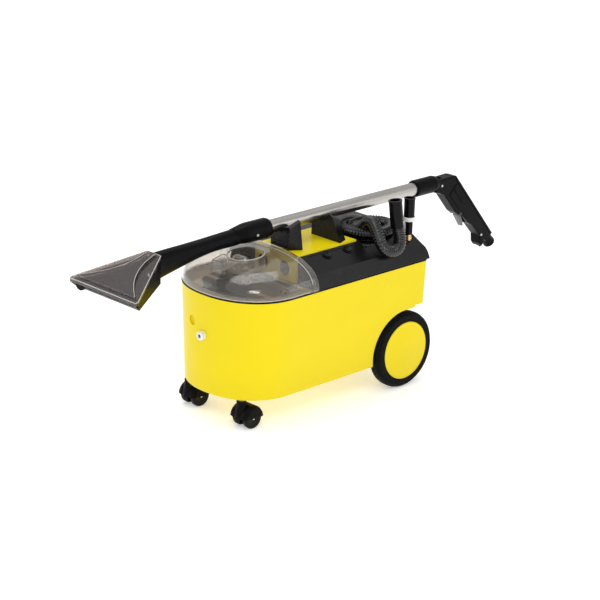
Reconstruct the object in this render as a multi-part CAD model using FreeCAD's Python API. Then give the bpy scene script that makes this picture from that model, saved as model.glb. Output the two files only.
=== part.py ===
import FreeCAD, Part
import math
import os

# Spray-extraction carpet cleaner on two rear wheels and two front casters,
# with its floor wand parked on top and its hose coiled on the rear deck.
# Millimetres. The nose points to -Y, +Z is up and X = 0 is the middle plane.
# Everything is drawn with Y = 0 where the rounded nose starts and Z = 0 on
# the floor; save() then moves each node back by FRAME_Y, so that the origin
# lies on the floor under the middle of the overall length.

V = FreeCAD.Vector
X, Y, Z = V(1, 0, 0), V(0, 1, 0), V(0, 0, 1)

# ---- driving dimensions -------------------------------------------------
FRAME_Y = 223.2         # from the nose start to the frame's origin
RIM_HALF = 162.5        # half width of the tub at its rim
RIM_NOSE = 142.0        # length of the rounded nose at the rim
RIM_Z = 320.0           # height of the tub's rim
FLOOR_HALF = 150.0      # half width of the tub at its bottom
FLOOR_NOSE = 136.0
FLOOR_Z = 72.0          # ground clearance
TUB_REAR = 465.0        # rear wall of the tub
WALL = 4.0
NOSE_POWER = 2.2        # fullness of the nose's superellipse
BULKHEAD_Y = 70.0       # front face of the wall between tank well and motor room

WHEEL_Y, WHEEL_R = 391.0, 98.0
WHEEL_IN, WHEEL_OUT = 125.0, 163.0
AXLE_R = 8.0
WELL_R, WELL_IN = 104.0, 118.0
TAIL_Y, TAIL_Z = 425.0, 207.0       # the tub is cut away behind and below here

CASTER_X, CASTER_Y = 93.0, -98.0    # swivel axes
CASTER_R, CASTER_TRAIL = 26.0, 18.0
STEM_R = 5.5

GASKET = 3.0
DECK_Z = RIM_Z + GASKET
CREASE_X, CREASE_Z = 147.0, 358.0   # the deck's flank ends in this crease
RIDGE_X, RIDGE_Z = 88.0, 388.0      # and its slope ends in this ridge
CROWN_Z = 392.0
CROWN_FRONT, CROWN_BACK = 74.0, 277.0
CROWN_FAR, CROWN_NEAR = -50.0, 89.0
ARCH_Y = 80.0           # the lid's rear edge and the deck's front edge
TRAY = (-50.0, 113.0, 286.0, 452.0, 311.8)      # x, x, y, y and floor height

PANEL_Y = 188.0         # middle of the switch panel
SWITCH_Y = (164.0, 233.0)
SWITCH_DOWN = 16.5      # distance of the switches down the slope from the ridge
DUCT_X, INTAKE_X, PORT_Z, PORT_R = -24.0, 50.0, 352.0, 17.0    # mouths in the crown's front
BRACKET_FAR = -14.0
DOME_RISE, DOME_POWER = 74.0, 2.5
WELL_Y, WELL_FLOOR, WELL_WALL_R = -6.0, 350.0, 46.5
FLOAT_R = 11.0
TANK_FLOOR, TANK_TOP = 112.0, 316.0
STRAINER_REAR = -30.0
BAIL_X, BAIL_Y, BAIL_Z, BAIL_REACH = 124.0, 4.0, 325.0, 44.0
MOTOR = (50.0, 180.0, 238.0)    # middle of the motor's lower end
PUMP = (-10.0, 330.0, 112.0)    # middle of the pump's coil
DRAIN_FACE = -139.5
GRIP_TOP = (717.0, 456.0)       # y, z of the handle's upper rear corner
GRIP_RUN = (0.642, -0.767)      # the handle's direction in the middle plane
NOZZLE_BACK, NOZZLE_LIP = -292.0, -444.0
NOZZLE_HALF = 116.0
TRIGGER_PIVOT = (97.0, 50.0)
HANDLE_SCREWS = [(660.0, 440.0), (824.0, 276.0)]
LINE_X, LINE_Z, LINE_R = -29.5, 441.0, 3.5      # spray line along the wand's tube
COIL_X, COIL_Y = 31.0, 369.0    # middle of the coiled hose
COIL_R = (64.0, 32.0)           # centre-line radii of its two turns per layer
COIL_TURNS_Z = (328.3, 392.7)   # and the heights of its lowest and highest layers
HOSE_END = [(31.0, 337.0, 392.7), (58.0, 335.0, 406.0), (82.0, 325.0, 428.0), (112.0, 311.0, 434.0),
            (138.0, 300.0, 413.0), (156.0, 302.0, 379.0), (162.0, 336.0, 364.0), (156.0, 369.0, 382.0),
            (137.0, 370.0, 416.0)]
CUFF_END = (131.0, 365.0, 485.0)
ADAPTER = (121.0, 428.0)        # upright adapter on its peg
CUFF_BORE_R = 16.1
DIMPLE = (-42.0, -139.0, 244.0)
DRAIN_Z, DRAIN_R = 218.0, 7.0
SUCTION_PORT = (-70.0, 262.0, 19.0)     # x, z and hole radius in the rear wall
SPRAY_PORT = (-30.0, 262.0, 7.0)
GLAND_PORT = (75.0, 262.0, 7.0)

TUBE_R, TUBE_Z = 16.7, 444.6
TUBE_FRONT, TUBE_BACK = 0.0, 612.0
HOSE_R = 16.0
GRIP_HALF = 17.5        # half thickness of the wand's handle


# ---- small helpers ------------------------------------------------------
def box(x0, x1, y0, y1, z0, z1):
    return Part.makeBox(x1 - x0, y1 - y0, z1 - z0, V(x0, y0, z0))


def rod(start, axis, radius, length):
    return Part.makeCylinder(radius, length, V(*start), axis)


def ring(start, axis, outer, inner, length):
    return rod(start, axis, outer, length).cut(rod(start, axis, inner, length))


def wire(points):
    return Part.makePolygon([V(*p) for p in points] + [V(*points[0])])


def prism_x(profile, x0, x1):
    """Solid from (y, z) corners, extruded along X."""
    return Part.Face(wire([(x0, y, z) for y, z in profile])).extrude(V(x1 - x0, 0, 0))


def prism_y(profile, y0, y1):
    """Solid from (x, z) corners, extruded along Y."""
    return Part.Face(wire([(x, y0, z) for x, z in profile])).extrude(V(0, y1 - y0, 0))


def prism_z(profile, z0, z1):
    """Solid from (x, y) corners, extruded along Z."""
    return Part.Face(wire([(x, y, z0) for x, y in profile])).extrude(V(0, 0, z1 - z0))


def turned(profile, base, axis):
    """Solid of revolution from (radius, height) corners about an axis."""
    face = Part.Face(wire([(r, 0, h) for r, h in profile]))
    solid = face.revolve(V(0, 0, 0), Z, 360)
    solid.Placement = FreeCAD.Placement(V(*base), FreeCAD.Rotation(Z, axis))
    return solid


def fuse(shapes):
    whole = shapes[0]
    for shape in shapes[1:]:
        whole = whole.fuse(shape)
    return whole.removeSplitter()


def both_sides(shape):
    return shape, shape.mirror(V(0, 0, 0), X)


def fillet_where(shape, radius, test):
    edges = [edge for edge in shape.Edges if test(edge.CenterOfMass, edge)]
    return shape.makeFillet(radius, edges)


def nose_half(half, nose, y):
    """Half width of the rounded nose at a place y behind its start."""
    return half * (1 - min(abs(y) / nose, 1.0) ** NOSE_POWER) ** (1 / NOSE_POWER)


def outline(half, nose, z, rear, corner):
    """Plan outline of the tub: superellipse nose, straight sides, round rear corners."""
    power = 2 / NOSE_POWER
    points = []
    for step in range(15):
        turn = math.pi * step / 14
        side = math.copysign(abs(math.cos(turn)) ** power, math.cos(turn))
        points.append(V(half * side, -nose * max(math.sin(turn), 0) ** power, z))
    points[0], points[-1] = V(half, 0, z), V(-half, 0, z)
    curve = Part.BSplineCurve()
    curve.interpolate(points, InitialTangent=V(0, -1, 0), FinalTangent=V(0, 1, 0))
    cut = corner * (1 - math.sqrt(0.5))
    left = [V(-half, 0, z), V(-half, rear - corner, z), V(-half + cut, rear - cut, z),
            V(-half + corner, rear, z)]
    right = [V(-p.x, p.y, z) for p in reversed(left)]
    edges = [curve.toShape(),
             Part.LineSegment(left[0], left[1]).toShape(),
             Part.Arc(left[1], left[2], left[3]).toShape(),
             Part.LineSegment(left[3], right[0]).toShape(),
             Part.Arc(right[0], right[1], right[2]).toShape(),
             Part.LineSegment(right[2], right[3]).toShape()]
    return Part.Wire(edges)


def tub_solid(inset, z0, z1, rear=None, corner=18.0):
    """The tub's outer form between two heights, drawn in by inset."""
    wires = []
    for z in (z0, z1):
        share = (z - FLOOR_Z) / (RIM_Z - FLOOR_Z)
        half = FLOOR_HALF + (RIM_HALF - FLOOR_HALF) * share - inset
        nose = FLOOR_NOSE + (RIM_NOSE - FLOOR_NOSE) * share - inset
        back = (TUB_REAR if rear is None else rear) - inset
        wires.append(outline(half, nose, z, back, max(corner - inset, 4.0)))
    return Part.makeLoft(wires, True, True)


def tub_foot():
    """Rounded lower edge of the tub."""
    wires = []
    for inset, rise in ((6, 0), (1.8, 1.8), (0, 6)):
        wires.append(outline(FLOOR_HALF - inset, FLOOR_NOSE - inset, FLOOR_Z + rise, TUB_REAR - inset,
                             18 - inset))
    return Part.makeLoft(wires, True, True)


def slope_frame(along, down, lift=0.0):
    """Placement on the deck's near slope: local X down the slope, local Z out of it."""
    run = V(CREASE_X - RIDGE_X, 0, CREASE_Z - RIDGE_Z).normalize()
    out = run.cross(Y).multiply(-1)
    if out.z < 0:
        out = out.multiply(-1)
    base = V(RIDGE_X, along, RIDGE_Z) + run * down + out * lift
    return FreeCAD.Placement(base, FreeCAD.Rotation(run, V(0, 1, 0), out, "ZXY"))


def placed(shape, placement):
    moved = shape.copy()
    moved.Placement = placement.multiply(moved.Placement)
    return moved


def bends(points, tight=0.45):
    """Wire of straight runs joined by tangent arcs, and the arcs' radii."""
    edges, radii, here = [], [], points[0]
    for before, corner, after in zip(points, points[1:], points[2:]):
        back, ahead = (before - corner), (after - corner)
        turn = math.pi - back.getAngle(ahead)
        reach = tight * min(back.Length, ahead.Length)
        radius = reach / math.tan(turn / 2)
        back.normalize()
        ahead.normalize()
        start, end = corner + back * reach, corner + ahead * reach
        inward = (back + ahead).normalize()
        middle = corner + inward * (radius / math.cos(turn / 2) - radius)
        edges.append(Part.LineSegment(here, start).toShape())
        edges.append(Part.Arc(start, middle, end).toShape())
        radii.append(round(radius, 1))
        here = end
    edges.append(Part.LineSegment(here, points[-1]).toShape())
    return Part.Wire(edges), radii


def hose(name, points, radius):
    """Round hose along a route; prints its bend radii and checks its volume."""
    path, radii = bends([V(*p) for p in points])
    first = path.Edges[0]
    direction = first.tangentAt(first.FirstParameter)
    profile = Part.Wire(Part.Circle(V(*points[0]), direction, radius).toShape())
    solid = path.makePipeShell([profile], True, False)
    ratio = solid.Volume / (math.pi * radius ** 2 * path.Length)
    print(name, "radii", radii, "length", round(path.Length), "volume ratio", round(ratio, 3))
    return solid


nodes = {}


def save(name, shape):
    """Write one node, in the shared frame, as its own STEP file."""
    moved = shape.copy()
    moved.translate(V(0, -FRAME_Y, 0))
    solids = moved.Solids
    whole = solids[0] if len(solids) == 1 else Part.makeCompound(solids)
    if not solids or not whole.isValid():
        raise RuntimeError("bad solid in " + name)
    whole.exportStep("parts/" + name + ".step")
    nodes[name] = whole


# ---- tub and covers -----------------------------------------------------
def make_housing():
    """Yellow double tub: tank well in the nose, motor room behind the bulkhead."""
    body = tub_foot().fuse(tub_solid(0, FLOOR_Z + 6, RIM_Z))
    cuts = [box(-170, 170, TAIL_Y, 480, 60, TAIL_Z)]
    for side in (-1, 1):
        x0, x1 = sorted((side * WELL_IN, side * 175))
        cuts.append(rod((x0, WHEEL_Y, WHEEL_R), X, WELL_R, x1 - x0))
        cuts.append(box(x0, x1, WHEEL_Y, 480, 60, TAIL_Z - 5))
    for cut in cuts:
        body = body.cut(cut)
    room = tub_solid(WALL, FLOOR_Z + WALL, RIM_Z + 1)
    well = room.common(box(-170, 170, -150, BULKHEAD_Y, 60, 330))
    motor_room = room.common(box(-170, 170, BULKHEAD_Y + WALL, 470, 60, 330))
    arch_wall = WELL_IN - 2 * 3.0
    for side in (-1, 1):
        x0, x1 = sorted((side * arch_wall, side * 175))
        motor_room = motor_room.cut(box(x0, x1, WHEEL_Y - WELL_R - WALL, 480, 60, TAIL_Z + WALL))
    motor_room = motor_room.cut(box(-170, 170, TAIL_Y - WALL, 480, 60, TAIL_Z + WALL))
    body = body.cut(well).cut(motor_room)
    # ledge that carries the dirty-water tank
    ledge = tub_solid(WALL - 1, RIM_Z - 14.4, RIM_Z - 8.4).cut(tub_solid(11, RIM_Z - 16, RIM_Z - 7))
    body = body.fuse(ledge.common(box(-170, 170, -150, BULKHEAD_Y, 0, 400)))
    # tunnel for the axle, sockets for the casters
    body = body.fuse(rod((-WELL_IN, WHEEL_Y, WHEEL_R), X, 15, 2 * WELL_IN))
    body = body.cut(rod((-180, WHEEL_Y, WHEEL_R), X, AXLE_R, 360))
    whole = tub_foot().fuse(tub_solid(0, FLOOR_Z + 6, RIM_Z))
    for side in (-1, 1):
        body = body.fuse(rod((side * CASTER_X, CASTER_Y, FLOOR_Z), Z, 12, 32).common(whole))
        body = body.cut(rod((side * CASTER_X, CASTER_Y, FLOOR_Z - 1), Z, STEM_R + 0.05, 29))
    # shallow dimple and drain bore on the nose, each with a thick pad behind it
    skin = tub_solid(1, 180, 300)
    body = body.fuse(rod(DIMPLE, Y, 17, 14).common(skin))
    body = body.cut(rod((DIMPLE[0], DIMPLE[1] - 20, DIMPLE[2]), Y, 12, 29))
    body = body.fuse(rod((0, -RIM_NOSE, DRAIN_Z), Y, 15, 13).common(skin))
    body = body.cut(rod((0, -RIM_NOSE - 10, DRAIN_Z), Y, DRAIN_R, 50))
    for x, z, radius in (SUCTION_PORT, SPRAY_PORT, GLAND_PORT):
        body = body.cut(rod((x, TUB_REAR - 15, z), Y, radius, 30))
    body = body.cut(rod((PUMP[0] - 56, BULKHEAD_Y - 5, 90), Y, 4.2, 15))
    return body


def make_gasket():
    """Black seal that runs round the whole rim, under the lid and the deck."""
    outer = outline(RIM_HALF + 0.8, RIM_NOSE + 0.8, RIM_Z, TUB_REAR + 0.8, 18.8)
    inner = outline(RIM_HALF - 5, RIM_NOSE - 5, RIM_Z, TUB_REAR - 5, 13.0)
    ring_solid = Part.Face(outer).extrude(V(0, 0, GASKET))
    return ring_solid.cut(Part.Face(inner).extrude(V(0, 0, GASKET)))


def vault(inset, z0, y0, y1):
    """Cross-section of the deck: steep flanks, a slope on each side, a flat top."""
    half = [(RIM_HALF - inset, z0), (RIM_HALF - inset, DECK_Z + 2),
            (CREASE_X - 0.9 * inset, CREASE_Z - 0.6 * inset),
            (RIDGE_X - 0.3 * inset, RIDGE_Z - inset)]
    return prism_y(half + [(-x, z) for x, z in reversed(half)], y0, y1)


def make_deck():
    """Black cover of the motor room: rounded tail, tray for the hose, panel recess."""
    deck = vault(0, DECK_Z, ARCH_Y, TUB_REAR)
    deck = fillet_where(deck, 16.0, lambda c, e: abs(c.y - TUB_REAR) < 0.1 and c.z > CREASE_Z - 10)
    hollow = vault(3.0, DECK_Z - 1, ARCH_Y + 3, TUB_REAR - 18)
    hollow = hollow.fuse(vault(6.0, DECK_Z - 1, TUB_REAR - 19, TUB_REAR - 4)
                         .common(box(-170, 170, 400, 480, 300, RIDGE_Z - 18)))
    x0, x1, y0, y1, floor = TRAY
    outer_tray = box(x0 - 3, x1 + 3, y0 - 3, y1 + 3, floor - 3, 400).common(deck)
    panel_pad = placed(box(4, 50, -88, 88, -7, 0), slope_frame(PANEL_Y, 0)).common(deck)
    deck = deck.cut(hollow).fuse(outer_tray).fuse(panel_pad)
    deck = deck.cut(box(x0, x1, y0, y1, floor, 420))
    deck = deck.cut(box(CROWN_FAR, CROWN_NEAR, CROWN_FRONT, CROWN_BACK, DECK_Z - 5, 420))
    frame = slope_frame(PANEL_Y, 0)
    deck = deck.cut(placed(box(8, 46, -82, 82, -3, 5), frame))
    for along in SWITCH_Y:
        deck = deck.cut(placed(rod((SWITCH_DOWN, along - PANEL_Y, -20), Z, 14.5, 30), frame))
    return deck.removeSplitter()


def make_crown():
    """Yellow cover of the turbine; its front end reaches in under the lid."""
    front = box(CROWN_FAR, CROWN_NEAR, CROWN_FRONT, ARCH_Y, DECK_Z, CROWN_Z).common(dome(5.5))
    crown = front.fuse(box(CROWN_FAR, CROWN_NEAR, ARCH_Y, CROWN_BACK, DECK_Z, CROWN_Z))
    crown = crown.cut(box(CROWN_FAR + 3, CROWN_NEAR - 3, CROWN_FRONT + 3, ARCH_Y, DECK_Z - 1, CROWN_Z - 16))
    crown = crown.cut(box(CROWN_FAR + 3, CROWN_NEAR - 3, ARCH_Y, CROWN_BACK - 3, DECK_Z - 1, CROWN_Z - 3))
    for x in (DUCT_X, INTAKE_X):
        crown = crown.cut(rod((x, CROWN_FRONT - 5, PORT_Z), Y, PORT_R, 12))
    return crown.removeSplitter()


def make_panel():
    """Switch plate in the deck's recess, with a round mouth for each switch."""
    plate = box(8.2, 45.8, -81.8, 81.8, -3, -1)
    for along in SWITCH_Y:
        plate = plate.fuse(rod((SWITCH_DOWN, along - PANEL_Y, -3), Z, 14, 4))
    for along in SWITCH_Y:
        plate = plate.cut(rod((SWITCH_DOWN, along - PANEL_Y, -10), Z, 11.4, 30))
        plate = plate.cut(rod((SWITCH_DOWN, along - PANEL_Y - 13, -1.0), Y, 1.56, 26))
    return placed(plate, slope_frame(PANEL_Y, 0))


def make_switch(along):
    """Round rocker with a dished face, on a short pin across the slope."""
    disc = rod((SWITCH_DOWN, along - PANEL_Y, -2), Z, 10.6, 5)
    dish = Part.makeSphere(30, V(SWITCH_DOWN, along - PANEL_Y, 31.5))
    pin = rod((SWITCH_DOWN, along - PANEL_Y - 12.6, -1.0), Y, 1.5, 25.2)
    return placed(disc.cut(dish).fuse(pin), slope_frame(PANEL_Y, 0))


def make_bracket(y_wide, y_narrow, near_wide, near_narrow, top):
    """Hook that carries the parked wand: a shelf under the tube and a horn beside it."""
    sections = []
    for y, near, tip in ((y_wide, near_wide, top), (y_narrow, near_narrow, top - 14)):
        profile = [(BRACKET_FAR, CROWN_Z), (BRACKET_FAR, TUBE_Z - 8), (0, TUBE_Z - 8),
                   (TUBE_R + 1, TUBE_Z - 4), (48 - 4 * (y == y_narrow), tip),
                   (56 - 4 * (y == y_narrow), tip - 3), (near, CROWN_Z)]
        sections.append(wire([(x, y, z) for x, z in profile]))
    hook = Part.makeLoft(sections, True, True)
    low, high = min(y_wide, y_narrow) - 1, max(y_wide, y_narrow) + 1
    return hook.cut(rod((0, low, TUBE_Z), Y, TUBE_R + 0.3, high - low))


# ---- running gear -------------------------------------------------------
def make_wheel():
    """Parts of the near rear wheel: tyre, plastic wheel with its bore, and hub cap."""
    inner, outer, radius = WHEEL_IN, WHEEL_OUT, WHEEL_R
    base = (0, WHEEL_Y, WHEEL_R)
    tyre = turned([(74, inner + 2), (radius - 7, inner + 2), (radius - 1.5, inner + 8), (radius, inner + 14),
                   (radius, outer - 12), (radius - 2, outer - 6), (radius - 8, outer), (74, outer)], base, X)
    bore = AXLE_R + 0.06
    wheel = turned([(bore, inner - 2), (20, inner - 2), (20, inner + 8), (74, inner + 8), (74, outer - 4),
                    (68, outer - 4), (68, inner + 12), (20, inner + 12), (20, outer - 12),
                    (bore, outer - 12)], base, X)
    cap = turned([(0, outer - 1), (72, outer - 4), (73.5, outer - 3.9), (73.5, outer), (71, outer + 1.5),
                  (66, outer + 0.5), (30, outer + 3.5), (0, outer + 4.5)], base, X)
    return tyre, wheel, cap


def make_axle():
    """Steel axle pressed through the tub's tunnel, with a retaining head at each end."""
    shaft = rod((-(WHEEL_OUT - 10), WHEEL_Y, WHEEL_R), X, AXLE_R, 2 * (WHEEL_OUT - 10))
    heads = [rod((side * (WHEEL_OUT - 8.5) - 2, WHEEL_Y, WHEEL_R), X, 12, 4) for side in (-1, 1)]
    return fuse([shaft] + heads)


def make_caster(x):
    """Hooded fork, steel stem and axle, and twin wheels of one swivel caster, trailing to the rear."""
    axle_y, hub = CASTER_Y + CASTER_TRAIL, CASTER_R
    top = FLOOR_Z - 0.6
    stem = rod((x, CASTER_Y, top - 9), Z, STEM_R, 35).fuse(rod((x, CASTER_Y, top - 1.2), Z, 8.5, 1.2))
    half = [(0, 29), (23, 29), (28.5, 27), (31.5, 20)]
    shell = turned([(r, -w) for r, w in half] + half[::-1], (x, axle_y, hub), X)
    shell = shell.cut(box(x - 40, x + 40, axle_y - 40, axle_y + 40, -10, hub + 2))
    web = rod((x - 8, axle_y, hub), X, 31, 16)
    web = web.cut(box(x - 40, x + 40, axle_y - 40, axle_y + 40, -10, hub - 12))
    neck = turned([(0, 0), (16, 0), (12, top - hub - 13.2), (12, top - hub - 3.2), (0, top - hub - 3.2)],
                  (x, CASTER_Y, hub + 2), Z)
    hood = fuse([shell, web, neck])
    for start in (x + 9.2, x - 25.8):
        hood = hood.cut(rod((start, axle_y, hub), X, CASTER_R + 1, 16.6))
    hood = hood.cut(rod((x, CASTER_Y, top - 9.5), Z, STEM_R, 40))
    hood = hood.cut(rod((x - 20, axle_y, hub), X, 3.0, 40))
    axle = rod((x - 25, axle_y, hub), X, 3.0, 50)
    tread = [(3.06, 0), (22, 0), (CASTER_R - 2, 1), (CASTER_R, 4), (CASTER_R, 12), (CASTER_R - 2, 15),
             (18, 15.5), (3.06, 13)]
    wheels = [turned(tread, (x + 9.5, axle_y, hub), X), turned(tread, (x - 9.5, axle_y, hub), V(-1, 0, 0))]
    return hood, Part.makeCompound([stem, axle]), Part.makeCompound(wheels)


# ---- lid and dirty-water tank -------------------------------------------
def dome(inset):
    """Clear lid's form: superellipse arches that shrink towards the nose."""
    sections = []
    length = ARCH_Y + RIM_NOSE - inset
    for step in range(11):
        share = math.sin(math.radians(step * 8.75))
        y = ARCH_Y - length * share
        half = RIM_HALF - inset if y >= 0 else nose_half(RIM_HALF - inset, RIM_NOSE - inset, y)
        rise = (DOME_RISE - inset) * (1 - share ** DOME_POWER) ** (1 / DOME_POWER)
        points = []
        for part in range(17):
            turn = math.pi * part / 16
            side = math.copysign(abs(math.cos(turn)) ** 0.8, math.cos(turn))
            points.append(V(half * side, y, DECK_Z + rise * max(math.sin(turn), 0) ** 0.8))
        points[0], points[-1] = V(half, y, DECK_Z), V(-half, y, DECK_Z)
        arch = Part.BSplineCurve()
        arch.interpolate(points)
        sections.append(Part.Wire([arch.toShape(), Part.LineSegment(points[-1], points[0]).toShape()]))
    return Part.makeLoft(sections, True, False)


def make_lid():
    """Clear lid: thin dome, doubled band along the arch, round well and spout box."""
    outer = dome(0.5)
    lid = outer.cut(dome(3.3))
    band = dome(-1.5).common(box(-170, 170, ARCH_Y - 19, ARCH_Y, DECK_Z + 1, 500))
    lid = lid.fuse(band.cut(dome(1.5)))
    lid = lid.fuse(rod((0, WELL_Y, WELL_FLOOR), Z, WELL_WALL_R, 90).common(outer))
    lid = lid.cut(rod((0, WELL_Y, WELL_FLOOR + 3), Z, WELL_WALL_R - 3, 90))
    spout = box(-44, -8, WELL_Y - 68, WELL_Y - 30, WELL_FLOOR + 2, 420).common(outer)
    spout = spout.cut(box(-41, -11, WELL_Y - 65, WELL_Y, WELL_FLOOR - 5, 386))
    spout = spout.cut(rod((0, WELL_Y, WELL_FLOOR), Z, WELL_WALL_R - 1, 90))
    lid = lid.fuse(spout)
    lid = lid.cut(box(-175, 175, -160, ARCH_Y + 5, DECK_Z - 2, DECK_Z + 0.3))
    return lid.cut(box(-175, 175, ARCH_Y - 0.4, ARCH_Y + 5, DECK_Z - 2, 420)).removeSplitter()


def make_lid_knob():
    """Black grip in the lid's well, waisted for the fingers."""
    grip = box(-21, 21, WELL_Y - 26, WELL_Y - 6, WELL_FLOOR + 3, WELL_FLOOR + 40)
    grip = fillet_where(grip, 5.0, lambda c, e: abs(c.x) > 20.9 or c.z > WELL_FLOOR + 39)
    for y in (WELL_Y - 29, WELL_Y - 3):
        grip = grip.cut(rod((-30, y, WELL_FLOOR + 22), X, 7, 60))
    return grip


def make_float_cage():
    """Slotted cage under the lid's well; the float in it shuts the air path when full."""
    cage = ring((0, WELL_Y, WELL_FLOOR - 30), Z, 14.5, 12, 30)
    cage = cage.fuse(ring((0, WELL_Y, WELL_FLOOR - 30), Z, 14.5, 7, 2.5))
    for step in range(6):
        slot = box(-2.5, 2.5, 9, 20, WELL_FLOOR - 25, WELL_FLOOR - 6)
        slot.rotate(V(0, 0, 0), Z, 60 * step + 30)
        slot.translate(V(0, WELL_Y, 0))
        cage = cage.cut(slot)
    return cage


def make_float():
    return Part.makeSphere(FLOAT_R, V(0, WELL_Y, WELL_FLOOR - 27.2 + FLOAT_R))


def make_waste_tank():
    """Beige insert for the dirty water: deep tank, wide flange, cross bar, bail lugs."""
    rear = BULKHEAD_Y + 9.0
    tank = tub_solid(15, TANK_FLOOR, TANK_TOP - 2, rear, 30.0)
    tank = tank.cut(tub_solid(18, TANK_FLOOR + 3, TANK_TOP + 1, rear, 30.0))
    top = tub_solid(5.5, TANK_TOP - 4, TANK_TOP, BULKHEAD_Y + 1.5, 14.0)
    mouth = tub_solid(48, TANK_TOP - 20, TANK_TOP + 10, BULKHEAD_Y + 24, 60.0)
    bar = box(-140, 140, STRAINER_REAR - 4, STRAINER_REAR + 8, TANK_TOP - 4, TANK_TOP)
    tank = tank.fuse(top.cut(mouth)).fuse(bar.common(top))
    for side in (-1, 1):
        x0, x1 = sorted((side * (BAIL_X - 3), side * (BAIL_X + 3)))
        lug = box(x0, x1, BAIL_Y - 7, BAIL_Y + 7, TANK_TOP - 1, BAIL_Z)
        lug = lug.fuse(rod((x0, BAIL_Y, BAIL_Z), X, 7, 6))
        tank = tank.fuse(lug).cut(rod((x0 - 1, BAIL_Y, BAIL_Z), X, 3.05, 8))
    return tank.removeSplitter()


def make_bail():
    """Black carrying bail of the dirty-water tank, folded down towards the rear."""
    reach, inner = BAIL_REACH, BAIL_X - 8
    bar = rod((-inner, BAIL_Y + reach, BAIL_Z), X, 4, 2 * inner)
    grip = rod((-38, BAIL_Y + reach, BAIL_Z), X, 6.5, 76)
    shapes = [bar, grip]
    for side in (-1, 1):
        shapes.append(rod((side * inner, BAIL_Y, BAIL_Z), Y, 4, reach))
        shapes.append(Part.makeSphere(4, V(side * inner, BAIL_Y + reach, BAIL_Z)))
        shapes.append(Part.makeSphere(4.5, V(side * inner, BAIL_Y, BAIL_Z)))
        x0 = min(side * inner, side * (BAIL_X + 5))
        shapes.append(rod((x0, BAIL_Y, BAIL_Z), X, 3, BAIL_X + 5 - inner))
    return fuse(shapes)


def make_strainer():
    """Black lint basket in the front of the tank's mouth, with slotted walls and a hood."""
    front = STRAINER_REAR - 46
    rim = box(-46, 46, front - 24, STRAINER_REAR + 6, TANK_TOP + 0.4, TANK_TOP + 3)
    basket = box(-36, 36, front, STRAINER_REAR - 6, TANK_TOP - 26, TANK_TOP + 14)
    basket = rim.fuse(basket)
    basket = basket.cut(box(-33.5, 33.5, front + 2.5, STRAINER_REAR - 8.5, TANK_TOP - 23.5, TANK_TOP + 20))
    for step in range(6):
        x = -27.5 + 11 * step
        basket = basket.cut(box(x - 3, x + 3, front - 5, STRAINER_REAR + 5, TANK_TOP - 20, TANK_TOP - 6))
    grip = box(-4, 4, front + 1, STRAINER_REAR - 7, TANK_TOP + 8, TANK_TOP + 14)
    return basket.fuse(grip)


# ---- motor room ---------------------------------------------------------
def make_motor():
    """Turbine motor: can, end bell, brush caps and shaft end."""
    x, y, z = MOTOR
    can = turned([(0, 0), (46, 0), (50, 3), (50, 52), (44, 60), (30, 64), (30, 74), (12, 80), (0, 80)],
                 (x, y, z), Z)
    for side in (-1, 1):
        can = can.fuse(box(x + side * 44 - 9, x + side * 44 + 9, y - 8, y + 8, z + 34, z + 50))
    return can


def make_fan_housing():
    """Two-stage fan housing under the motor, with its outlet spigot."""
    x, y, z = MOTOR
    drum = turned([(0, -46), (60, -46), (64, -42), (64, -25), (66, -25), (66, -21), (64, -21), (64, -4),
                   (60, 0), (0, 0)], (x, y, z), Z)
    return drum.fuse(rod((x, y - 64, z - 30), V(0, -1, 0), 14, 16))


def make_motor_stand():
    """Rubber-topped stand that carries the fan housing on four legs."""
    x, y, z = MOTOR
    floor = FLOOR_Z + WALL
    stand = ring((x, y, z - 60), Z, 60, 36, 14)
    for turn in (45, 135, 225, 315):
        px = x + 50 * math.cos(math.radians(turn))
        py = y + 50 * math.sin(math.radians(turn))
        stand = stand.fuse(rod((px, py, floor), Z, 7, z - 58 - floor))
    return stand


def make_intake_duct():
    """Duct from the chamber under the lid down to the motor's eye."""
    x, y, z = MOTOR
    run = rod((INTAKE_X, CROWN_FRONT, PORT_Z), Y, PORT_R, y - CROWN_FRONT)
    bore = rod((INTAKE_X, CROWN_FRONT - 1, PORT_Z), Y, PORT_R - 2.5, y - CROWN_FRONT + 1)
    drop = rod((x, y, z + 82), Z, PORT_R + 3, PORT_Z - z - 82 + 12)
    return run.fuse(drop).cut(bore).cut(rod((x, y, z + 60), Z, PORT_R - 2, PORT_Z - z - 60 + 8))


def make_suction_duct():
    """Ribbed duct that brings the dirty air from the rear port to the lid's chamber."""
    x, z, _ = SUCTION_PORT
    route = [(x, TUB_REAR - WALL - 22, z), (x, 385, z), (x + 8, 335, z + 3), (x + 26, 290, z + 12),
             (DUCT_X - 6, 245, z + 34), (DUCT_X, 195, PORT_Z - 18), (DUCT_X, 140, PORT_Z),
             (DUCT_X, CROWN_FRONT + 3, PORT_Z)]
    return hose("suction_duct", route, 16.5)


def make_pump():
    """Vibrating solution pump: coil body, brass head and both hose nipples."""
    x, y, z = PUMP
    body = box(x - 32, x + 22, y - 24, y + 24, z - 24, z + 24)
    body = fillet_where(body, 4.0, lambda c, e: True)
    head = turned([(0, 0), (15, 0), (15, 12), (9, 12), (9, 26), (4, 26), (4, 40), (0, 40)],
                  (x + 22, y, z), X)
    tail = turned([(0, 0), (12, 0), (12, 10), (4, 10), (4, 24), (0, 24)], (x - 32, y, z), V(-1, 0, 0))
    feet = box(x - 34, x + 24, y - 20, y + 20, FLOOR_Z + WALL, z - 23)
    return fuse([body, head, tail, feet])


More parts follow.
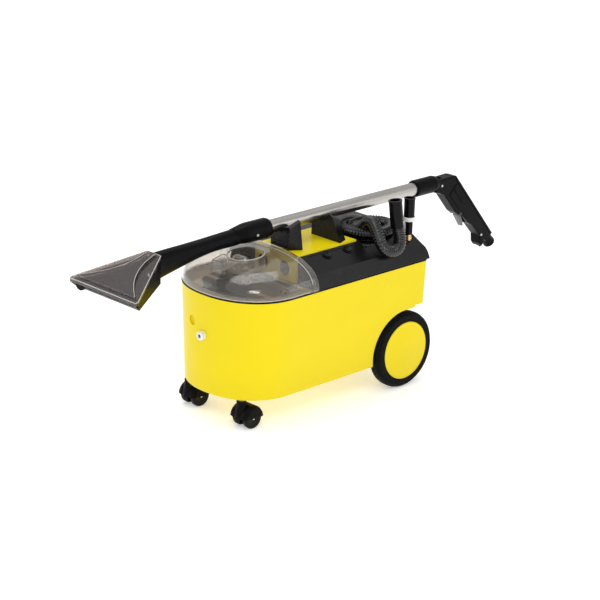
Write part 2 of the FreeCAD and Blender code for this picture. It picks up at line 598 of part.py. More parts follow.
def make_inlet_strainer():
    """Strainer on the floor of the clean-water space, at the end of the pump's inlet hose."""
    cup = turned([(0, 0), (12, 0), (13.5, 2), (13.5, 20), (8, 24), (4.2, 24), (4.2, 36), (0, 36)],
                 (PUMP[0] - 56, 20, 90), Y)
    for step in range(8):
        groove = ring((PUMP[0] - 56, 23 + 2.2 * step, 90), Y, 14.5, 12.6, 1.1)
        cup = cup.cut(groove)
    return cup


def make_inlet_hose():
    x, y, z = PUMP
    route = [(x - 56, 56, 90), (x - 56, 120, 90), (x - 56, 200, 92), (x - 57, 262, 100), (x - 62, 305, z - 6)]
    return hose("pump_inlet_hose", route, 4.2)


def make_pressure_hose():
    x, y, z = PUMP
    route = [(x + 62, y, z), (x + 74, y, z + 2), (x + 84, y + 6, z + 14), (x + 84, y + 14, z + 40),
             (x + 70, y + 24, z + 80), (x + 40, y + 44, z + 120), (SPRAY_PORT[0] + 6, 420, SPRAY_PORT[1] - 4),
             (SPRAY_PORT[0], TUB_REAR - 22, SPRAY_PORT[1])]
    return hose("pressure_hose", route, 4.0)


def make_suction_port():
    """Hose socket on the rear wall: flange outside, spigot inside."""
    x, z, radius = SUCTION_PORT
    port = rod((x, TUB_REAR, z), Y, 27, 4).fuse(rod((x, TUB_REAR - 26, z), Y, radius - 0.1, 38))
    return port.cut(rod((x, TUB_REAR - 30, z), Y, CUFF_BORE_R, 60))


def make_spray_coupling():
    """Brass quick coupling for the spray hose on the rear wall."""
    x, z, radius = SPRAY_PORT
    turned_body = turned([(0, -22), (5, -22), (5, -12), (radius - 0.1, -12), (radius - 0.1, 0), (12, 0),
                          (12, 5), (9, 5), (9, 10), (7.5, 10), (7.5, 22), (3, 22), (3, 8), (0, 8)],
                         (x, TUB_REAR, z), Y)
    return turned_body


def make_gland():
    """Screwed gland for the mains lead, with an empty bore."""
    x, z, radius = GLAND_PORT
    body = turned([(3.6, -10), (radius - 0.1, -10), (radius - 0.1, 0), (11, 0), (11, 6), (8.5, 9),
                   (7, 24), (3.6, 24)], (x, TUB_REAR, z), Y)
    return body


def make_drain_spout():
    """White drain stub on the nose."""
    return turned([(5.2, -10), (DRAIN_R - 0.1, -10), (DRAIN_R - 0.1, -1.5), (11, -1.5), (11, 10), (9.5, 12),
                   (5.2, 12)], (0, DRAIN_FACE, DRAIN_Z), V(0, -1, 0))


def make_drain_plug():
    """Dark plug that pulls forward out of the drain stub."""
    return turned([(0, -8), (4.4, -8), (4.9, -6), (4.9, 9), (3.6, 9), (3.6, 7), (0, 7)],
                  (0, DRAIN_FACE, DRAIN_Z), V(0, -1, 0))


# ---- wand ---------------------------------------------------------------
def make_tube():
    return ring((0, TUBE_FRONT, TUBE_Z), Y, TUBE_R, TUBE_R - 1.5, TUBE_BACK - TUBE_FRONT)


def neck_form(inset):
    """Oval neck that deepens from the tube's collar down to the nozzle."""
    sections = []
    for y, z, half, tall in ((-22, 443, 19, 19), (-90, 440.5, 19.3, 19.5), (-150, 437, 19.7, 20.5),
                             (-215, 430, 21, 26), (-270, 423.5, 22.5, 31.5), (NOZZLE_BACK, 420, 24, 34)):
        big, small = max(half, tall) - inset, min(half, tall) - inset
        oval = Part.Ellipse(V(0, 0, 0), big + 0.01, small)
        shape = Part.Wire(oval.toShape())
        turn = FreeCAD.Rotation(Z, X, Y, "ZXY") if tall >= half else FreeCAD.Rotation(X, Z, V(0, -1, 0), "ZXY")
        shape.Placement = FreeCAD.Placement(V(0, y, z), turn)
        sections.append(shape)
    return Part.makeLoft(sections, True, False)


def make_neck():
    """Black neck with the round collar that takes the tube's front end."""
    collar = turned([(0, -50), (18.5, -50), (24, -18), (25, -8), (25, 54), (23, 60), (0, 60)],
                    (0, 0, TUBE_Z), Y)
    neck = collar.fuse(neck_form(0))
    neck = neck.fuse(rod((-28.5, -252, 431), Y, 6, 26).fuse(box(-28, -18, -252, -226, 426, 436)))
    neck = neck.cut(neck_form(3))
    neck = neck.cut(rod((0, -40, TUBE_Z), Y, 14.5, 45)).cut(rod((0, 0, TUBE_Z), Y, TUBE_R, 61))
    return neck.cut(rod((-28.5, -246, 431), Y, LINE_R, 21)).removeSplitter()


def nozzle_slab(top, bottom, half_in, lip_in):
    """Part of the nozzle's fan between two lines in side view, drawn in at its edges."""
    back, lip = NOZZLE_BACK, NOZZLE_LIP + lip_in
    side = prism_x([(back, top[0]), (lip, top[1]), (lip, bottom[1]), (back, bottom[0])], -130, 130)
    plan = prism_z([(24 - half_in, back), (NOZZLE_HALF - half_in, -436), (NOZZLE_HALF - half_in, -450),
                    (-NOZZLE_HALF + half_in, -450), (-NOZZLE_HALF + half_in, -436),
                    (-24 + half_in, back)], 360, 470)
    return side.common(plan)


def trumpet(inset, top, bottom):
    """Raised channel of the nozzle's cover, flaring towards the lip."""
    edge = []
    for step in range(9):
        share = step / 8
        edge.append(V(13 - inset + 89 * share ** 2.4, -298 - 136 * share + (inset if step == 8 else 0), 360))
    near = Part.BSplineCurve()
    near.interpolate(edge)
    far = Part.BSplineCurve()
    far.interpolate([V(-p.x, p.y, p.z) for p in reversed(edge)])
    lines = [Part.LineSegment(edge[-1], V(-edge[-1].x, edge[-1].y, 360)).toShape(),
             Part.LineSegment(V(-edge[0].x, edge[0].y, 360), edge[0]).toShape()]
    plan = Part.Face(Part.Wire([near.toShape(), lines[0], far.toShape(), lines[1]])).extrude(V(0, 0, 120))
    side = prism_x([(-290, top[0]), (-440, top[1]), (-440, bottom[1]), (-290, bottom[0])], -130, 130)
    return plan.common(side)


def make_nozzle_cover():
    """Smoky clear cover of the floor nozzle: a thin fan with a raised trumpet."""
    plate = nozzle_slab((453, 397), (443.3, 389.3), 0, 0)
    plate = plate.cut(nozzle_slab((450.5, 394.5), (430, 376), 2.5, 2.5))
    raised = trumpet(0, (460, 404.5), (450, 394)).common(nozzle_slab((470, 414), (430, 376), 3, 3))
    cover = plate.fuse(raised)
    cover = cover.cut(trumpet(2.5, (457.5, 402), (440, 384)))
    return cover.cut(box(-150, 150, -460, -280, 300, 330)).removeSplitter()


def make_nozzle_body():
    """Black body of the floor nozzle: fan-shaped tray, suction lip and heel."""
    side = prism_x([(NOZZLE_BACK, 443), (NOZZLE_LIP, 389), (-430, 376), (NOZZLE_BACK, 386)], -130, 130)
    body = side.common(nozzle_slab((480, 420), (340, 340), 0, 0))
    hollow = prism_x([(NOZZLE_BACK + 1, 460), (-438, 400), (-438, 390), (-430, 383), (NOZZLE_BACK + 1, 391)],
                     -130, 130)
    body = body.cut(hollow.common(nozzle_slab((500, 430), (340, 340), 4, 4)))
    body = body.cut(box(-106, 106, -450, -430, 384.2, 388.2))
    heel = rod((-87, -438, 391), Y, 18, 12).common(box(-120, 0, -450, -420, 300, 386))
    jet_seat = box(-12, 12, -392, -366, 372, 384)
    body = body.fuse(heel).fuse(jet_seat)
    return body.cut(rod((0, -379, 360), Z, 5.0, 21)).removeSplitter()


def make_jet():
    """Brass spray jet under the nozzle, with a fan slot."""
    jet = turned([(0, -8), (4.9, -8), (4.9, 0), (7.5, 0), (7.5, 4), (6, 7), (0, 7)],
                 (0, -379, 372), V(0, 0, -1))
    return jet.cut(box(-10, 10, -379.8, -378.2, 360, 367))


def make_spray_line():
    """Thin line on the wand's far side, from the handle to the neck."""
    return hose("spray_line", [(LINE_X, 566, LINE_Z), (LINE_X, 300, LINE_Z), (LINE_X - 0.3, 60, LINE_Z),
                               (LINE_X, -60, LINE_Z - 1), (-29.0, -150, 436), (-28.5, -226, 431)], LINE_R)


def grip_point(along, deep):
    """(y, z) of a place on the handle: along its back edge, and forward from it."""
    return (GRIP_TOP[0] + along * GRIP_RUN[0] + deep * GRIP_RUN[1],
            GRIP_TOP[1] + along * GRIP_RUN[1] - deep * GRIP_RUN[0])


def grip_prism(corners, x0, x1):
    return prism_x([grip_point(along, deep) for along, deep in corners], x0, x1)


def grip_rod(along, deep, radius, length, x=0.0):
    y, z = grip_point(along, deep)
    return rod((x, y, z), V(0, GRIP_RUN[0], GRIP_RUN[1]), radius, length)


GRIP_OUTLINE = [(-10, 8), (0, 0), (240, 0), (240, 30), (230, 33), (236, 37), (236, 51), (224, 51),
                (205, 38), (160, 40), (142, 46), (98, 48), (94, 58), (76, 62), (9, 62)]


def handle_form(inset, half):
    """The handle's bent body between two side planes, drawn in by inset."""
    grip = grip_prism(GRIP_OUTLINE, -half, half)
    arm = prism_x([(640, 456), (706, 458), (712, 440), (676, 409), (655, 420), (640, 424)], -half, half)
    form = grip.fuse(arm).removeSplitter()
    if inset == 0:
        return form
    shapes = [grip_prism([(2, 5), (236, 5), (232, 27), (212, 32), (158, 34), (140, 40), (96, 42),
                          (88, 54), (74, 57), (12, 57)], -half, half),
              prism_x([(630, 452), (702, 453), (705, 440), (678, 416), (630, 428)], -half, half)]
    return fuse(shapes)


def make_handle_half(side):
    """One moulded half of the handle, with a raised panel and ridges on its face."""
    collar = turned([(0, 570), (20.5, 570), (22, 574), (22, 640), (19, 652), (0, 652)],
                    (0, 0, TUBE_Z), Y)
    body = handle_form(0, GRIP_HALF)
    body = fillet_where(body, 4.0, lambda c, e: abs(abs(c.x) - GRIP_HALF) < 0.1)
    x0, x1 = sorted((side * (GRIP_HALF - 2), side * (GRIP_HALF + 1.6)))
    panel = grip_prism([(16, 12), (92, 12), (104, 22), (104, 34), (80, 48), (20, 50)], x0, x1)
    ridge = grip_prism([(2, 4.5), (228, 4.5), (228, 7.5), (5, 7.5)], x0, x1)
    rib = grip_prism([(24, 26), (76, 28), (76, 31), (24, 30)], x0 + side * 1.2, x1 + side * 1.2)
    whole = fuse([body, collar, panel, ridge, rib])
    whole = whole.cut(handle_form(3, GRIP_HALF - 3))
    whole = whole.cut(rod((0, 560, TUBE_Z), Y, TUBE_R, TUBE_BACK - 560))
    whole = whole.cut(rod((0, TUBE_BACK - 1, TUBE_Z), Y, 15.2, 60))
    whole = whole.cut(grip_prism([(88, 30), (146, 30), (146, 70), (100, 70), (88, 62)], -6.7, 6.7))
    whole = whole.cut(grip_rod(228, 15, 13, 20)).cut(grip_rod(222, 44, 5, 30))
    py, pz = grip_point(*TRIGGER_PIVOT)
    whole = whole.cut(rod((-GRIP_HALF - 2, py, pz), X, 2.05, 2 * GRIP_HALF + 4))
    for y, z in HANDLE_SCREWS:
        x = min(side * 8, side * GRIP_HALF)
        boss = rod((min(0, side * GRIP_HALF), y, z), X, 5, GRIP_HALF)
        whole = whole.fuse(boss.common(body.fuse(collar))).cut(rod((-30, y, z), X, 2.0, 60))
    half_space = box(*sorted((0, side * 40)), 500, 950, 200, 520)
    return whole.common(half_space).removeSplitter()


def make_trigger():
    """Pull trigger with its pivot pin; it swings in towards the grip."""
    body = grip_prism([(93, 44), (92, 54), (98, 59), (120, 61), (136, 63), (140, 58), (128, 52), (106, 46)],
                      -6, 6)
    py, pz = grip_point(*TRIGGER_PIVOT)
    return body.fuse(rod((-GRIP_HALF + 1, py, pz), X, 2.0, 2 * GRIP_HALF - 2)).removeSplitter()


def make_hose_stub():
    """Round hose socket and spray nipple at the lower end of the handle."""
    outer = grip_rod(229, 15, 12.9, 12).fuse(grip_rod(240, 15, 15, 30)).fuse(grip_rod(262, 15, 16, 6))
    socket = outer.cut(grip_rod(228, 15, 11, 50)).removeSplitter()
    y, z = grip_point(223, 44)
    nipple = turned([(0, 0), (4.9, 0), (4.9, 12), (6.5, 12), (6.5, 16), (3.5, 16), (3.5, 25), (0, 25)],
                    (0, y, z), V(0, GRIP_RUN[0], GRIP_RUN[1]))
    return Part.makeCompound([socket, nipple])


def make_wand_screws():
    screws = []
    for y, z in HANDLE_SCREWS:
        screws.append(rod((-12, y, z), X, 1.9, 30).fuse(rod((GRIP_HALF - 0.5, y, z), X, 3.2, 2.2)))
    screws.append(rod((24.2, 8, TUBE_Z - 3), X, 3.2, 2.2))
    return Part.makeCompound(screws)


# ---- hose and its ends --------------------------------------------------
def make_coil():
    """Outer shape of the coiled hose: three layers of two turns."""
    low, high = COIL_TURNS_Z[0] - HOSE_R, COIL_TURNS_Z[1] + HOSE_R
    base = (COIL_X, COIL_Y, low)
    coil = ring(base, Z, COIL_R[0] + HOSE_R, COIL_R[1] - HOSE_R, high - low)
    return fillet_where(coil, 12.0, lambda c, e: e.Curve.Radius > COIL_R[0]
                        if hasattr(e.Curve, "Radius") else False)


def make_hose_end():
    """The hose from the coil over the near slope and up to its cuff."""
    return hose("hose_end", HOSE_END, HOSE_R)


def make_cuff():
    """Smooth cuff on the hose's free end, open at its mouth."""
    base, mouth = V(*HOSE_END[-1]), V(*CUFF_END)
    axis = mouth - base
    length = axis.Length
    axis.normalize()
    cuff = Part.makeCylinder(HOSE_R + 0.5, length, base, axis)
    cuff = cuff.fuse(Part.makeCylinder(HOSE_R + 1.5, 3, mouth - axis * 3, axis))
    return cuff.cut(Part.makeCylinder(HOSE_R - 2.5, length, base + axis * 4, axis))


def make_adapter():
    """Black adapter tube that stands on a peg at the deck's near edge."""
    x, y = ADAPTER
    tube = ring((x, y, 430), Z, 13.5, 11.5, 47).fuse(ring((x, y, 474), Z, 14.3, 11.5, 3))
    return tube.fuse(rod((x, y, 429), Z, 13.5, 4)).fuse(rod((x + 2, y, 384), Z, 8.5, 46)).removeSplitter()


def make_adapter_ring():
    """White locking ring of the adapter, with the white spray line beside it."""
    x, y = ADAPTER
    collar = ring((x, y, 419), Z, 15.2, 8, 10).cut(rod((x + 2, y, 415), Z, 8.5, 20))
    pipe = rod((x - 9.3, y - 3, 386), Z, 2.4, 35)
    return collar.fuse(pipe)


def make_adapter_fitting():
    """Brass spray fitting at the adapter's foot."""
    x, y = ADAPTER
    return turned([(0, 368), (5, 368), (5, 372), (7, 372), (7, 378), (5.5, 378), (5.5, 384), (0, 384)],
                  (x + 2, y, 0), Z)


def main():
    os.makedirs("parts", exist_ok=True)
    save("housing", make_housing())
    save("rim_gasket", make_gasket())
    save("deck_cover", make_deck())
    save("crown_cover", make_crown())
    save("control_panel", make_panel())
    save("pump_switch", make_switch(SWITCH_Y[0]))
    save("turbine_switch", make_switch(SWITCH_Y[1]))
    save("front_bracket", make_bracket(118, 88, 66, 47, 464))
    save("rear_bracket", make_bracket(225, 255, 86, 74, 455))
    save("rear_axle", make_axle())
    for name, shape in zip(("tyre", "wheel", "hub_cap"), make_wheel()):
        near, far = both_sides(shape)
        save("near_" + name, near)
        save("far_" + name, far)
    for side, x in (("near", CASTER_X), ("far", -CASTER_X)):
        for name, shape in zip(("fork", "pins", "wheels"), make_caster(x)):
            save(side + "_caster_" + name, shape)
    save("dome_lid", make_lid())
    save("lid_grip", make_lid_knob())
    save("float_cage", make_float_cage())
    save("float_ball", make_float())
    save("waste_tank", make_waste_tank())
    save("tank_bail", make_bail())
    save("lint_strainer", make_strainer())
    save("turbine_motor", make_motor())
    save("fan_housing", make_fan_housing())
    save("motor_stand", make_motor_stand())
    save("intake_duct", make_intake_duct())
    save("suction_duct", make_suction_duct())
    save("solution_pump", make_pump())
    save("inlet_strainer", make_inlet_strainer())
    save("pump_inlet_hose", make_inlet_hose())
    save("pressure_hose", make_pressure_hose())
    save("suction_port", make_suction_port())
    save("spray_coupling", make_spray_coupling())
    save("mains_gland", make_gland())
    save("drain_spout", make_drain_spout())
    save("drain_plug", make_drain_plug())
    save("wand_tube", make_tube())
    save("wand_neck", make_neck())
    save("nozzle_body", make_nozzle_body())
    save("nozzle_cover", make_nozzle_cover())
    save("spray_jet", make_jet())
    save("spray_line", make_spray_line())
    save("near_handle_half", make_handle_half(1))
    save("far_handle_half", make_handle_half(-1))
    save("trigger", make_trigger())
    save("hose_stub", make_hose_stub())
    save("wand_screws", make_wand_screws())
    save("hose_coil", make_coil())
    save("hose_end", make_hose_end())
    save("hose_cuff", make_cuff())
    save("adapter_tube", make_adapter())
    save("adapter_ring", make_adapter_ring())
    save("adapter_fitting", make_adapter_fitting())
    print(len(nodes), "nodes")


main()
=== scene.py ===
# Looks of the spray-extraction carpet cleaner: materials for every CAD node,
# the ribbed hose, pale beads painting highlights on the clear parts' edges, floor, light and
# camera.  Metres; the nose points to -Y, +Z is up and the switch panel is on the +X side.
import math

import bmesh
import bpy
from mathutils import Matrix, Vector


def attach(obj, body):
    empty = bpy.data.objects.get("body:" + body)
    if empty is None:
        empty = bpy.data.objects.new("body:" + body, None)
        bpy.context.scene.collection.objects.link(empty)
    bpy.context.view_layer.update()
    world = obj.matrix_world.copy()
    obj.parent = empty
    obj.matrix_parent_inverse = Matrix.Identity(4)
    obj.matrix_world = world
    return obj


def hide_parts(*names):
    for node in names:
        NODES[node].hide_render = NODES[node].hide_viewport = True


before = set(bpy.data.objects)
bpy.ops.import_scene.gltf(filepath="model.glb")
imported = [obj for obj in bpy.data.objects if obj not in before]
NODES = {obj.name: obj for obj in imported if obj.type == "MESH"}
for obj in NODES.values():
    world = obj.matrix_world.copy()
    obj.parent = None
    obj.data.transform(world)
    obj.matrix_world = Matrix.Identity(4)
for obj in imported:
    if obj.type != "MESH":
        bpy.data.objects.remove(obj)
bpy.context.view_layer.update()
MM = 0.001


def mm(x, y, z):
    """A place in the shared frame, from the CAD drawing's millimetres."""
    return Vector((x, y - FRAME_Y, z)) * MM


# ---- sizes shared with the CAD model --------------------------------------
FRAME_Y = 223.2
HOSE_R = 16.0
COIL_CENTRE = (31.0, 369.0)
COIL_RADII = (64.0, 32.0)
COIL_LAYERS = (328.3, 360.5, 392.7)
HOSE_END = [(31.0, 337.0, 392.7), (58.0, 335.0, 406.0), (82.0, 325.0, 428.0),
            (112.0, 311.0, 434.0), (138.0, 300.0, 413.0), (156.0, 302.0, 379.0),
            (162.0, 336.0, 364.0), (156.0, 369.0, 382.0), (137.0, 370.0, 416.0)]
RIM_HALF, RIM_NOSE, LID_Z = 162.5, 142.0, 323.0     # lid's plan and lowest height
NOSE_POWER = 2.2
ARCH_Y, DOME_RISE, DOME_POWER = 80.0, 74.0, 2.5
ARCH_BEAD_Y, RIM_BEAD_REAR = 61.0, 76.0
WELL_Y, WELL_RING_R = -6.0, 45.0
COVER_EDGE = [(24, -292), (116, -436), (116, -443.5),
              (-116, -443.5), (-116, -436), (-24, -292)]
COVER_BACK_Z, COVER_BACK_Y, COVER_SLOPE = 453.0, -292.0, 0.3684
FLARE_Z, FLARE_Y, FLARE_SLOPE = 459.7, -290.0, 0.37
FLARE_START, FLARE_SPREAD, FLARE_POWER = 13.0, 89.0, 2.4
FLARE_FROM, FLARE_LONG = -298.0, 136.0
BEAD_STEP = 0.003
RIB_PITCH = 6.4
RIB_DEPTH = 2.0


# ---- camera, light and floor ----------------------------------------------
def make_camera():
    azimuth, elevation, roll = math.radians(45.4), math.radians(19.7), math.radians(1.6)
    target, distance = mm(0, 180, 200), 5.39
    back = Vector((math.sin(azimuth) * math.cos(elevation),
                   -math.cos(azimuth) * math.cos(elevation), math.sin(elevation)))
    right = Vector((math.cos(azimuth), math.sin(azimuth), 0))
    up = back.cross(right)
    right, up = (right * math.cos(roll) + up * math.sin(roll),
                 up * math.cos(roll) - right * math.sin(roll))
    data = bpy.data.cameras.new("camera")
    data.sensor_width = 36
    data.lens = 131.6
    data.shift_y = 0.0217
    data.clip_end = 50
    camera = bpy.data.objects.new("camera", data)
    turn = Matrix((right, up, back)).transposed().to_4x4()
    camera.matrix_world = Matrix.Translation(target + back * distance) @ turn
    bpy.context.scene.collection.objects.link(camera)
    bpy.context.scene.camera = camera


def area_light(name, place, aim, size, power, colour=(1, 1, 1)):
    data = bpy.data.lights.new(name, "AREA")
    data.shape = "RECTANGLE"
    data.size, data.size_y = size
    data.energy = power
    data.color = colour
    light = bpy.data.objects.new(name, data)
    light.location = place
    light.rotation_euler = (Vector(aim) - Vector(place)).to_track_quat("-Z", "Y").to_euler()
    bpy.context.scene.collection.objects.link(light)


def make_studio():
    bpy.context.scene.view_settings.view_transform = "Standard"
    bpy.ops.mesh.primitive_plane_add(size=60, location=(0, 0, 0))
    floor = bpy.context.object
    floor.name = "studio_floor"
    material = Shader("studio_floor", (0.92, 0.92, 0.92), 0.9, Emission_Color=(1, 1, 1, 1),
                      Emission_Strength=0.4)
    floor.data.materials.append(material.done())
    world = bpy.data.worlds.new("studio_world")
    bpy.context.scene.world = world
    world.use_nodes = True
    world.node_tree.nodes["Background"].inputs["Color"].default_value = (1, 1, 1, 1)
    world.node_tree.nodes["Background"].inputs["Strength"].default_value = 0.66
    area_light("key", (2.4, -2.4, 3.0), (0, -0.1, 0.2), (1.4, 1.4), 44, (1, 0.99, 0.97))
    area_light("overhead", (-0.6, 0.2, 3.2), (0, 0, 0.2), (2.6, 1.6), 28)
    area_light("side", (3.2, 2.4, 1.5), (0, 0.1, 0.25), (1.2, 2.0), 10)
    area_light("front", (-2.8, -2.6, 1.4), (0, -0.3, 0.25), (1.4, 1.8), 9)


# ---- shader maths ----------------------------------------------------------
class Value:
    """A shader value; arithmetic on it adds Math nodes to its tree."""

    def __init__(self, tree, socket):
        self.tree, self.socket = tree, socket

    def _math(self, operation, *others):
        node = self.tree.nodes.new("ShaderNodeMath")
        node.operation = operation
        for slot, value in zip(node.inputs, (self,) + others):
            if isinstance(value, Value):
                self.tree.links.new(value.socket, slot)
            else:
                slot.default_value = value
        return Value(self.tree, node.outputs[0])

    def __add__(self, other):
        return self._math("ADD", other)

    def __sub__(self, other):
        return self._math("SUBTRACT", other)

    def __mul__(self, other):
        return self._math("MULTIPLY", other)

    __radd__, __rmul__ = __add__, __mul__

    def __rsub__(self, other):
        return self * -1 + other

    def clamp(self, low, high):
        return self._math("MAXIMUM", low)._math("MINIMUM", high)

    def band(self, low, high):
        """0 below low, 1 above high, smooth between."""
        node = self.tree.nodes.new("ShaderNodeMapRange")
        node.interpolation_type = "SMOOTHSTEP"
        self.tree.links.new(self.socket, node.inputs["Value"])
        node.inputs["From Min"].default_value = low
        node.inputs["From Max"].default_value = high
        return Value(self.tree, node.outputs["Result"])


class Shader:
    """A Principled material with named helpers for its colour, gloss and relief."""

    def __init__(self, name, colour, roughness, **constants):
        self.material = bpy.data.materials.new(name)
        self.material.use_nodes = True
        self.tree = self.material.node_tree
        self.surface = self.tree.nodes["Principled BSDF"]
        self.colour = colour
        self.surface.inputs["Base Color"].default_value = (*colour, 1)
        self.surface.inputs["Roughness"].default_value = roughness
        for key, value in constants.items():
            self.surface.inputs[key.replace("_", " ")].default_value = value
        self.coordinates = self.tree.nodes.new("ShaderNodeTexCoord").outputs["Object"]
        self.normal = None

    def noise(self, size, stretch=(1, 1, 1), detail=3.0):
        """Noise between 0 and 1 whose grains are about size metres across."""
        mapping = self.tree.nodes.new("ShaderNodeMapping")
        mapping.inputs["Scale"].default_value = [1 / (size * s) for s in stretch]
        self.tree.links.new(self.coordinates, mapping.inputs["Vector"])
        node = self.tree.nodes.new("ShaderNodeTexNoise")
        node.inputs["Scale"].default_value = 1.0
        node.inputs["Detail"].default_value = detail
        self.tree.links.new(mapping.outputs["Vector"], node.inputs["Vector"])
        return Value(self.tree, node.outputs["Fac"])

    def axis(self, name):
        node = self.tree.nodes.new("ShaderNodeSeparateXYZ")
        self.tree.links.new(self.coordinates, node.inputs[0])
        return Value(self.tree, node.outputs[name])

    def tint(self, amount, other):
        """Blend the base colour towards another colour by a value."""
        mix = self.tree.nodes.new("ShaderNodeMix")
        mix.data_type = "RGBA"
        mix.inputs[6].default_value = (*self.colour, 1)
        if self.surface.inputs["Base Color"].is_linked:
            before = self.surface.inputs["Base Color"].links[0].from_socket
            self.tree.links.new(before, mix.inputs[6])
        mix.inputs[7].default_value = (*other, 1)
        self.tree.links.new(amount.socket, mix.inputs[0])
        self.tree.links.new(mix.outputs[2], self.surface.inputs["Base Color"])

    def gloss(self, value):
        self.tree.links.new(value.socket, self.surface.inputs["Roughness"])

    def relief(self, height, depth):
        """Bump from a 0 to 1 height, depth in metres."""
        node = self.tree.nodes.new("ShaderNodeBump")
        node.inputs["Distance"].default_value = depth
        self.tree.links.new(height.socket, node.inputs["Height"])
        if self.normal:
            self.tree.links.new(self.normal, node.inputs["Normal"])
        self.normal = node.outputs["Normal"]
        self.tree.links.new(self.normal, self.surface.inputs["Normal"])

    def done(self):
        return self.material


# ---- materials ---------------------------------------------------------------
def yellow_plastic():
    """Glossy dyed moulding: faint flow marks, darker towards the floor, soft orange peel."""
    s = Shader("yellow_plastic", (0.82, 0.655, 0.001), 0.3, Specular_IOR_Level=0.16,
               Coat_Weight=0.08, Coat_Roughness=0.1)
    flow = s.noise(0.16, (1, 1, 0.5), 2)
    s.tint(flow.band(0.42, 0.75) * 0.35, (0.86, 0.69, 0.001))
    speck = s.noise(0.004, detail=2).band(0.66, 0.8)
    low = 1 - s.axis("Z").band(0.02, 0.16)
    s.tint((low * 0.35 + speck * 0.08).clamp(0, 1), (0.66, 0.50, 0.01))
    s.gloss(s.noise(0.03) * 0.14 + 0.24)
    s.relief(s.noise(0.0022, detail=1), 0.00004)
    return s.done()


def grained_black(name, colour, roughness, grain=0.0009, depth=0.00010, shine=0.07):
    """Dark moulded plastic with a spark-eroded grain, paler where hands rub it."""
    s = Shader(name, colour, roughness, Specular_IOR_Level=shine)
    cells = s.noise(grain, detail=1)
    rub = s.noise(0.045, detail=4).band(0.5, 0.78)
    s.tint(rub * 0.4, tuple(c * 2.0 + 0.003 for c in colour))
    s.gloss((s.noise(0.02) * 0.2 + (roughness - 0.1)) - rub * 0.08)
    s.relief(cells, depth)
    return s.done()


def polished_black():
    s = Shader("polished_black", (0.003, 0.003, 0.003), 0.16, Specular_IOR_Level=0.14)
    scratch = s.noise(0.0015, (1, 14, 1), 2).band(0.62, 0.8)
    s.gloss(s.noise(0.02) * 0.1 + scratch * 0.12 + 0.14)
    s.relief(s.noise(0.003, detail=1), 0.00003)
    return s.done()


def clear_plastic(name, colour, roughness, tint, clearness):
    """See-through moulding with faint haze and wiping marks."""
    s = Shader(name, colour, roughness, Transmission_Weight=clearness, IOR=1.46)
    haze = s.noise(0.05, detail=4).band(0.45, 0.8)
    wipe = s.noise(0.012, (1, 9, 3), 2).band(0.5, 0.85)
    s.tint(haze * 0.5, tint)
    s.gloss(haze * 0.07 + wipe * 0.04 + roughness)
    s.relief(s.noise(0.02, detail=1), 0.00005)
    return s.done()


def tyre_rubber():
    s = Shader("tyre_rubber", (0.004, 0.004, 0.004), 0.6, Specular_IOR_Level=0.05)
    dust = s.noise(0.012, detail=5).band(0.5, 0.8)
    s.tint(dust * 0.35, (0.016, 0.015, 0.014))
    s.gloss(dust * 0.2 + 0.5)
    s.relief(s.noise(0.0016, detail=2), 0.00016)
    return s.done()


def brushed_aluminium():
    """Fine draw marks along the tube, with a soft sheen across them."""
    s = Shader("brushed_aluminium", (0.50, 0.48, 0.45), 0.3, Metallic=1.0, Anisotropic=0.5)
    lines = s.noise(0.0006, (1, 300, 1), 3)
    s.tint(lines.band(0.4, 0.7) * 0.35, (0.36, 0.35, 0.33))
    s.tint(s.noise(0.05, (1, 3, 1), 3).band(0.55, 0.8) * 0.3, (0.56, 0.53, 0.49))
    s.gloss(lines * 0.16 + 0.2)
    s.relief(lines, 0.00002)
    return s.done()


def turned_metal(name, colour, roughness):
    s = Shader(name, colour, roughness, Metallic=1.0)
    marks = s.noise(0.001, (1, 1, 0.3), 3)
    s.tint(s.noise(0.008, detail=4).band(0.45, 0.75) * 0.5, tuple(c * 0.55 for c in colour))
    s.gloss(marks * 0.2 + (roughness - 0.05))
    s.relief(marks, 0.00003)
    return s.done()


def moulded(name, colour, stain, roughness=0.45):
    """Pale or grey engineering plastic with water marks and a fine texture."""
    s = Shader(name, colour, roughness)
    s.tint(s.noise(0.03, (1, 1, 2.5), 4).band(0.5, 0.8) * 0.45, stain)
    s.gloss(s.noise(0.02) * 0.15 + (roughness - 0.08))
    s.relief(s.noise(0.0014, detail=1), 0.00006)
    return s.done()


def hose_plastic():
    """Semi-gloss hose with scuffed crests."""
    s = Shader("hose_plastic", (0.003, 0.003, 0.003), 0.14, Specular_IOR_Level=0.6)
    scuff = s.noise(0.006, detail=4).band(0.55, 0.78)
    s.tint(scuff * 0.3, (0.02, 0.02, 0.021))
    s.gloss(scuff * 0.2 + 0.1)
    s.relief(s.noise(0.0015, detail=1), 0.00006)
    return s.done()


